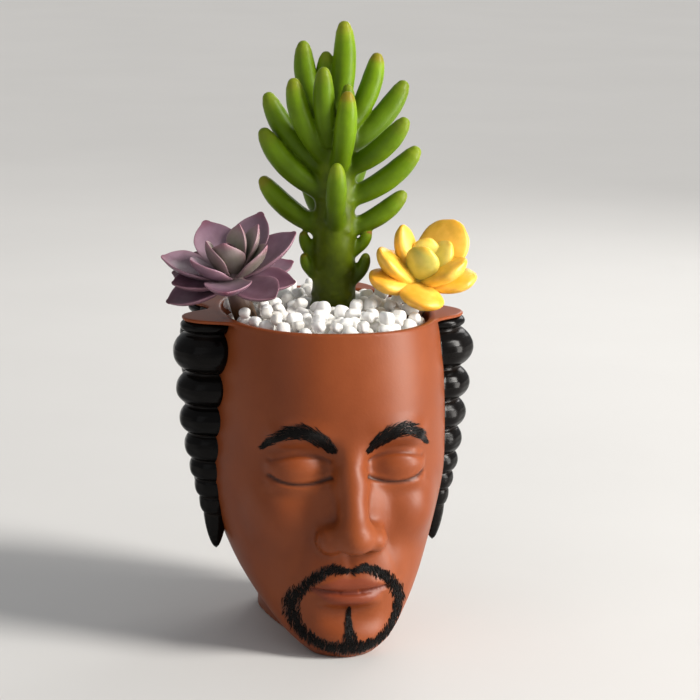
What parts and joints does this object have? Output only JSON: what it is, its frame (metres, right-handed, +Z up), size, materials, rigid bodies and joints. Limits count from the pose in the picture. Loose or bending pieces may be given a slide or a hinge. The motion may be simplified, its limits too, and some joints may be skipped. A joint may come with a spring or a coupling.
{
  "type": "head planter",
  "caption": "Head-shaped resin planter with a calm closed-eyed face, black ringlet hair and beard, planted with succulents under white pebbles.",
  "frame": {"origin": "on the flat base, on the head's upright axis", "axes": "+Z up, the face looks along -Y, +X is the head's left side"},
  "size_m": [0.1284, 0.1374, 0.2446],
  "materials": {
    "skin_paint": "satin",
    "hair_paint": "gloss",
    "potting_mix": "matte",
    "white_pebbles": "matte",
    "stonecrop_green": "satin",
    "succulent_stem": "matte",
    "rosette_purple": "satin",
    "golden_yellow": "satin"
  },
  "bodies": {
    "root": {"chin_beard": "hair_paint", "golden_heart_leaves": "golden_yellow", "golden_middle_leaves": "golden_yellow", "golden_outer_leaves": "golden_yellow", "golden_stem": "succulent_stem", "hair_cap": "hair_paint", "head_shell": "skin_paint", "left_back_ringlet": "hair_paint", "left_brow": "hair_paint", "left_nape_ringlet": "hair_paint", "left_side_ringlet": "hair_paint", "moustache": "hair_paint", "pebbles": "white_pebbles", "potting_mix": "potting_mix", "right_back_ringlet": "hair_paint", "right_brow": "hair_paint", "right_nape_ringlet": "hair_paint", "right_side_ringlet": "hair_paint", "rosette_heart_leaves": "rosette_purple", "rosette_middle_leaves": "rosette_purple", "rosette_outer_leaves": "rosette_purple", "rosette_stem": "succulent_stem", "soul_patch": "hair_paint", "stonecrop_crown_leaves": "stonecrop_green", "stonecrop_lower_leaves": "stonecrop_green", "stonecrop_middle_leaves": "stonecrop_green", "stonecrop_stem": "stonecrop_green"}
  },
  "joints": []
}
